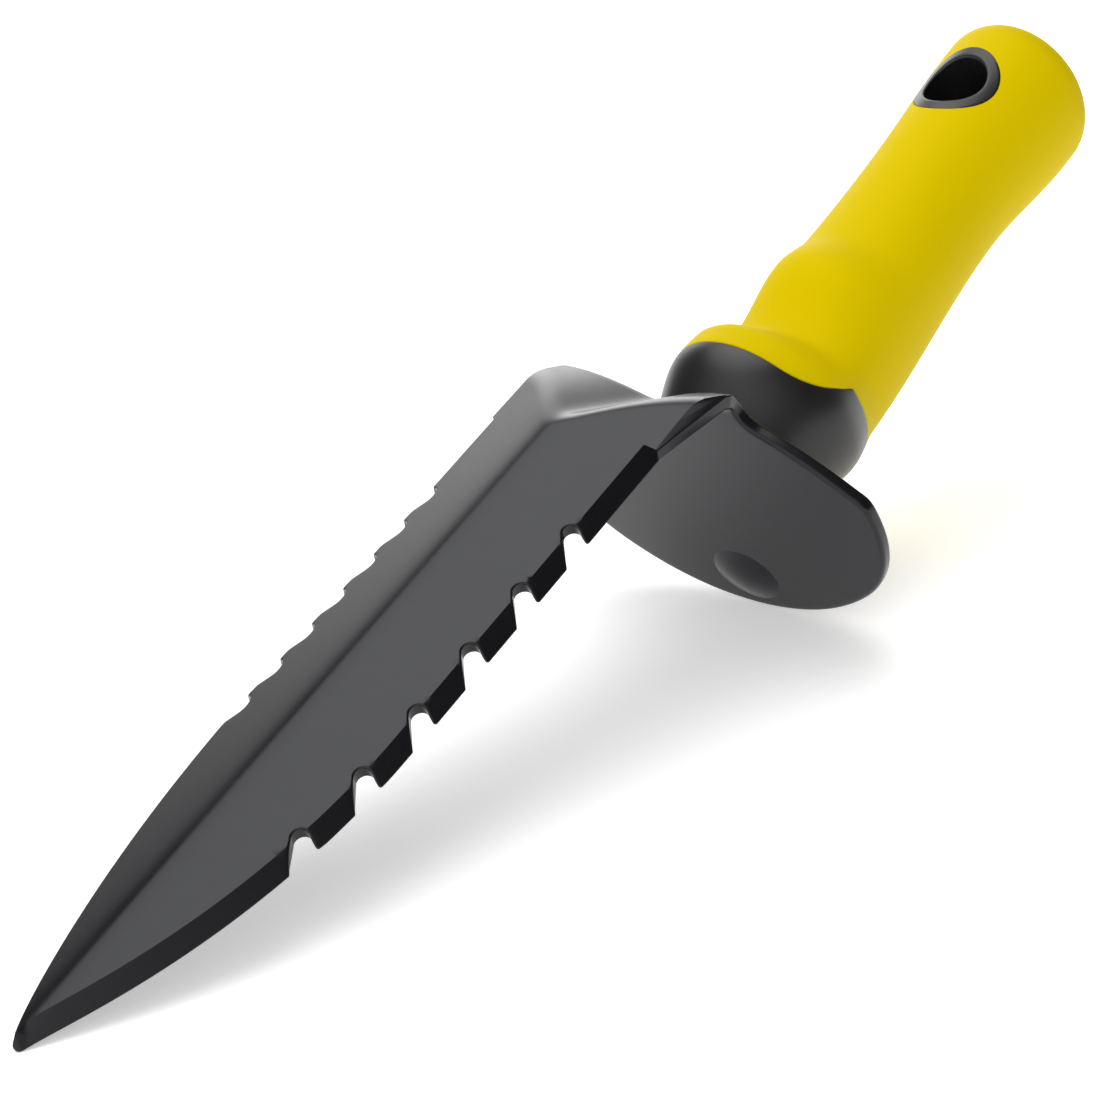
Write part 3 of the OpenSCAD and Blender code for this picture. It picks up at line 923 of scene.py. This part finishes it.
# %% Sections of the handle
WAIST, SWELL = HANDLE_LENGTH - 44.5, HANDLE_LENGTH - 11
TOP = [(0, 17), (19, 24.1), (25, 23.6), (35, 14.6), (53, 19.6), (64, 16.7), (SWELL, 19.5)]
BOTTOM = [(0, 16), (34, 23.2), (WAIST, 18.1), (SWELL, 21)]
SIDE = [(0, 18), (22, 22.8), (38, 18.4), (WAIST, 16.2), (SWELL, 17.8)]
END_ROUND = 9.0
CORE_RADIUS = 10.5
END_WALL = 6.0
RING_WALL = 3.0
GRIP_START_TOP, GRIP_START_LOW = 20.0, 31.0
START_TURN, START_SPAN = 0.2, 0.62
AROUND = 168
angles = np.linspace(0, 2 * math.pi, AROUND, endpoint=False)


def size_at(stations, y):
    """A size along the handle, eased between its stations."""
    spots, sizes = np.array(stations).T
    y = np.asarray(y, float)
    i = np.clip(np.searchsorted(spots, y) - 1, 0, len(spots) - 2)
    t = np.clip((y - spots[i]) / (spots[i + 1] - spots[i]), 0, 1)
    return sizes[i] + (sizes[i + 1] - sizes[i]) * t * t * (3 - 2 * t)


def end_trim(y):
    """How far the outside draws in towards the rounded end."""
    t = np.clip(np.asarray(y, float) - (HANDLE_LENGTH - END_ROUND), 0, END_ROUND)
    return END_ROUND - np.sqrt(END_ROUND ** 2 - t ** 2)


def surface(y, a, sunk=0.0):
    """Points of the outside at distances y and angles a, or a little under it."""
    y = np.broadcast_to(y, np.shape(a))
    cut = end_trim(y) + sunk
    upright = np.where(np.sin(a) >= 0, size_at(TOP, y), size_at(BOTTOM, y))
    return np.stack([(size_at(SIDE, y) - cut) * np.cos(a), y, (upright - cut) * np.sin(a)], -1)


def height_at(x, y, side):
    """Height of the outside above a point, on top or (side -1) below."""
    upright = size_at(TOP, y) if side > 0 else size_at(BOTTOM, y)
    return side * upright * np.sqrt(np.clip(1 - (x / size_at(SIDE, y)) ** 2, 0, 1))


def grip_start(a):
    """Where the yellow grip begins: close behind the collar's top, further back low on the sides."""
    t = np.clip((np.sin(a) - START_TURN) / START_SPAN, 0, 1)
    return GRIP_START_LOW + (GRIP_START_TOP - GRIP_START_LOW) * (1 - (1 - t) ** 2)


def loft(name, rings):
    """A closed skin over rings of points; the first and the last ring shrink to a point."""
    n = len(rings[0])
    points = np.vstack([rings[0].mean(0)[None], *rings, rings[-1].mean(0)[None]])
    faces = [(0, 1 + (i + 1) % n, 1 + i) for i in range(n)]
    for r in range(len(rings) - 1):
        a, b = 1 + r * n, 1 + (r + 1) * n
        faces += [(a + i, a + (i + 1) % n, b + (i + 1) % n, b + i) for i in range(n)]
    last = 1 + (len(rings) - 1) * n
    faces += [(len(points) - 1, last + i, last + (i + 1) % n) for i in range(n)]
    return new_piece(name, points, faces)


def round_ring(radius, y):
    """A ring of points round the handle's axis; y is one distance, or one for each point."""
    return np.stack([radius * np.cos(angles), np.broadcast_to(y, angles.shape), radius * np.sin(angles)], -1)


# %% [markdown]
# The hanging hole is cut with a round bar, and the eyelet is a tube that is joined to the core.
# Boolean modifiers do both, because the hole crosses a curved surface and its edge there has no
# simple formula.


# %% Tools for the hanging hole
EYELET_RADIUS = HOLE_RADIUS + RING_WALL
CUTTER_HALF = 30


def hole_cutter(name, radius):
    """A round bar through the hanging hole, long enough to pass the whole handle."""
    spin = np.linspace(0, 2 * math.pi, 96, endpoint=False)
    x, y = radius * np.cos(spin), HOLE_Y + radius * np.sin(spin)
    levels = np.linspace(-CUTTER_HALF, CUTTER_HALF, 9)
    return loft(name, [np.stack([x, y, np.full(len(spin), z)], -1) for z in levels])


def combine(thing, other, operation):
    """Cuts or joins two closed meshes, and drops the second."""
    change = thing.modifiers.new(operation.lower(), "BOOLEAN")
    change.operation, change.object, change.solver = operation, other, "EXACT"
    keep_result(thing)
    bpy.data.objects.remove(other)


# %% [markdown]
# ## The yellow sleeve
#
# The soft rubber is moulded over the grey core. It is a cup: the outside, a small rounded lip at
# its front, and a bore that the core's bar fills. The front follows an S, high on the back of the
# collar and low on its sides. The eyelet's seat is cut through it last.

# %% Build the sleeve
LIP = 0.5
start = grip_start(angles)
lip_turns = np.radians(np.linspace(90, 0, 5))
lip_rings = [surface(start + LIP * (1 - math.sin(t)), angles, LIP * (1 - math.cos(t))) for t in lip_turns]
full = HANDLE_LENGTH - END_ROUND
body_rings = [surface(start + LIP + (full - start - LIP) * s, angles) for s in np.linspace(0, 1, 150)[1:]]
end_turns = np.radians(np.linspace(0, 90, 15))[1:]
end_rings = [surface(full + END_ROUND * math.sin(t), angles) for t in end_turns]
last_ring = end_rings[-1]
middle = last_ring.mean(0)
end_rings += [middle + (last_ring - middle) * s for s in (0.8, 0.6, 0.4, 0.2)]
bore_end = HANDLE_LENGTH - END_WALL
bore_rings = [round_ring(CORE_RADIUS * s, bore_end) for s in (0.3, 0.65, 1)]
bore_rings += [round_ring(CORE_RADIUS, bore_end + (start - bore_end) * s) for s in np.linspace(0, 1, 60)[1:]]
front = surface(start, angles, LIP)
bore_front = bore_rings[-1]
face_rings = [bore_front + (front - bore_front) * s for s in (0.35, 0.7)]
sleeve = loft("grip_sleeve_soft", bore_rings + face_rings + lip_rings[:-1] + body_rings + end_rings)
sleeve.data.materials.append(finishes["yellow_rubber"])
combine(sleeve, hole_cutter("seat_cutter", EYELET_RADIUS), "DIFFERENCE")
finish_piece(sleeve, handle_place, "yellow_rubber", "grip_sleeve")

# %% [markdown]
# ## The grey core
#
# The grey part is one moulding: the collar behind the guard, the bar inside the rubber and the
# eyelet of the hanging hole. The eyelet's rim lies in the surface of the grip, with a soft inner
# edge for a cord.

# %% Build the collar and its bar
COLLAR_EDGE = 1.2
COLLAR_JOINT = 0.25
axis_ring, face_ring = round_ring(3.0, 0.0), round_ring(7.5, 0.0)
edge_turns = np.radians(np.linspace(90, 0, 6))
collar_rings = [surface(COLLAR_EDGE * (1 - math.sin(t)), angles, COLLAR_EDGE * (1 - math.cos(t)))
                for t in edge_turns]
collar_face = [axis_ring, face_ring, face_ring + (collar_rings[0] - face_ring) * 0.5]
side_length = start - COLLAR_JOINT - COLLAR_EDGE
collar_rings += [surface(COLLAR_EDGE + side_length * s, angles) for s in np.linspace(0, 1, 36)[1:]]
collar_rings += [surface(start, angles, COLLAR_JOINT), front]
bar_front = round_ring(CORE_RADIUS, start)
collar_rings += [bar_front + (front - bar_front) * s for s in (0.66, 0.33, 0)]
bar_length = bore_end - start
collar_rings += [round_ring(CORE_RADIUS, start + bar_length * s) for s in np.linspace(0, 1, 50)[1:]]
collar_rings += [round_ring(CORE_RADIUS * s, bore_end) for s in (0.6, 0.2)]
core = loft("core_and_collar", collar_face + collar_rings)
core.data.materials.append(finishes["grey_plastic"])
print("rings in the core:", len(collar_face + collar_rings))

# %% Build the eyelet
SOFT_EDGE = 0.8
OUTER_EDGE = 0.15


def eyelet_rim(spin, side):
    """Rings of the eyelet's rim on one side, from the bore over the soft edge to the seat in the rubber."""

    def ring(radius, sunk):
        x, y = radius * np.cos(spin), HOLE_Y + radius * np.sin(spin)
        return np.stack([x, y, height_at(x, y, side) - side * sunk], -1)

    turns = np.radians(np.linspace(0, 90, 7))
    soft = [ring(HOLE_RADIUS + SOFT_EDGE * (1 - math.cos(t)), SOFT_EDGE * (1 - math.sin(t))) for t in turns]
    level = [ring(r, 0) for r in np.linspace(HOLE_RADIUS + SOFT_EDGE, EYELET_RADIUS - OUTER_EDGE, 5)[1:]]
    return soft + level + [ring(EYELET_RADIUS, OUTER_EDGE)]


def eyelet():
    """A tube round the hanging hole, whose rims follow the outside of the grip."""
    spin = np.linspace(0, 2 * math.pi, 120, endpoint=False)
    low, high = eyelet_rim(spin, -1), eyelet_rim(spin, 1)
    steps = np.linspace(0, 1, 25)[1:-1]
    outer = [low[-1] + (high[-1] - low[-1]) * s for s in steps]
    bore = [high[0] + (low[0] - high[0]) * s for s in steps]
    rings = low + outer + high[::-1] + bore
    n, total = len(spin), len(rings)
    faces = []
    for r in range(total):
        a, b = r * n, (r + 1) % total * n
        faces += [(a + i, a + (i + 1) % n, b + (i + 1) % n, b + i) for i in range(n)]
    return new_piece("eyelet_tube", np.vstack(rings), faces)


combine(core, hole_cutter("bar_cutter", HOLE_RADIUS + RING_WALL / 2), "DIFFERENCE")
combine(core, eyelet(), "UNION")
print("core with its eyelet:", len(core.data.polygons), "faces")

# %% [markdown]
# The tang of the blade is welded to the guard and runs down the middle of the bar. Its seat, and
# the small countersink that clears the weld, are cut last, so that no metal and plastic share a
# place.

# %% Cut the tang's seat
TANG_RADIUS = 5.0
TANG_TO_HOLE = 21.5
TANG_LENGTH = HOLE_Y - HOLE_RADIUS - TANG_TO_HOLE
WELD_LEG = 3.0
CUTTER_FRONT = -3
CUTTER_MIDDLE = 2
countersink = TANG_RADIUS + WELD_LEG - CUTTER_FRONT
seat = [round_ring(CUTTER_MIDDLE, CUTTER_FRONT), round_ring(countersink, CUTTER_FRONT)]
seat += [round_ring(TANG_RADIUS, y) for y in np.linspace(WELD_LEG, TANG_LENGTH, 30)]
seat += [round_ring(CUTTER_MIDDLE, TANG_LENGTH)]
combine(core, loft("tang_cutter", seat), "DIFFERENCE")
finish_piece(core, handle_place, "grey_plastic", "handle_core")

# %% [markdown]
# The tang and its weld are right as they come from the CAD model, so they stay and only get their
# metals.

# %% Metals of the hidden pieces
for name, finish in (("tang", "bare_steel"), ("tang_weld", "weld_metal")):
    for socket in frame["nodes"][name].material_slots:
        socket.material = finishes[finish]
print("kept CAD pieces: tang, tang_weld")

# %% [markdown]
# ## Studio
#
# The tool lies on a sheet of white paper, which glows a little so that it stays white under the
# soft light.

# %% Floor
FLOOR = 3.0
floor_corners = [(-FLOOR, -FLOOR, 0), (FLOOR, -FLOOR, 0), (FLOOR, FLOOR, 0), (-FLOOR, FLOOR, 0)]
floor = new_piece("studio_floor", floor_corners, [(0, 1, 2, 3)])
paper, tree, shader, place = new_material("white_paper", Roughness=0.9, Specular_IOR_Level=0.1,
                                          Emission_Color=(1.0, 1.0, 1.0, 1.0), Emission_Strength=0.42)
mottle = noise(tree, place, 60.0, 2.0)
feed(tree, tint(tree, mottle, (0.90, 0.90, 0.90), (0.92, 0.92, 0.92)), shader, "Base Color")
floor.data.materials.append(paper)

# %% [markdown]
# The world is a plain gradient by direction: a soft light above, a brighter and smaller one low at
# the back left, and a broad dim one in front of the tip. The right stays dark, because the polished
# bevel and the guard's front show which side of the room is dark.

# %% World
world = bpy.data.worlds.new("studio")
bpy.context.scene.world = world
world.use_nodes = True
tree = world.node_tree
background = tree.nodes["Background"]
heading = tree.nodes.new("ShaderNodeSeparateXYZ")
coordinate = node(tree, "ShaderNodeTexCoord", {}, (), "Generated")
tree.links.new(coordinate.socket, heading.inputs[0])
east, north, up = (Wire(tree, output) for output in heading.outputs)


def lobe(towards, tightness, strength):
    """Light from around one direction; a tighter lobe is a smaller lamp."""
    aim = Vector(towards).normalized()
    facing = most(east * aim.x + north * aim.y + up * aim.z, 0.0)
    return facing ** tightness * strength


above = lobe((-0.20, 0.05, 0.97), 12.0, 1.6)
behind = lobe((-0.72, 0.63, 0.28), 16.0, 3.0)
before = lobe((0.30, -0.90, 0.40), 3.0, 1.3)
glow = above + behind + before + 0.10
background.inputs["Color"].default_value = (1.0, 1.0, 1.0, 1.0)
tree.links.new(glow.socket, background.inputs["Strength"])


# %% [markdown]
# One large round lamp hangs above the tool, a little to the left. Its size keeps the shadow on the
# paper soft.

# %% Lamp
KEY_SPOT = Vector((-0.4, 0.0, 1.7))
key_light = bpy.data.lights.new("key_lamp", "AREA")
key_light.shape = "DISK"
key_light.size = 2.2
key_light.energy = 17
key_lamp = bpy.data.objects.new("key_lamp", key_light)
key_lamp.location = KEY_SPOT
key_lamp.rotation_euler = (Vector() - KEY_SPOT).to_track_quat("-Z", "Y").to_euler()
bpy.context.scene.collection.objects.link(key_lamp)

# %% [markdown]
# ## Camera
#
# The camera looks down from the right of the tip, at a little over half a metre. Its lens is about
# 86 mm long, so that near and far parts of the tool keep their true proportions.

# %% Camera
CAMERA_SPOT = blade_place.translation + Vector((0.36406, -0.18885, 0.24108))
LOOK = Vector((-0.6805, 0.6236, -0.3847)).normalized()
RIGHT = Vector((0.7111, 0.6886, -0.1418))
LENS = 85.98
camera = bpy.data.objects.new("camera", bpy.data.cameras.new("camera"))
right_way = (RIGHT - LOOK * RIGHT.dot(LOOK)).normalized()
up_way = right_way.cross(LOOK)
turn = Matrix((right_way, up_way, -LOOK)).transposed()
camera.matrix_world = Matrix.Translation(CAMERA_SPOT) @ turn.to_4x4()
camera.data.lens = LENS
camera.data.sensor_width = 36
camera.data.clip_start = 0.01
bpy.context.scene.collection.objects.link(camera)
bpy.context.scene.camera = camera
bpy.context.scene.view_settings.view_transform = "Standard"
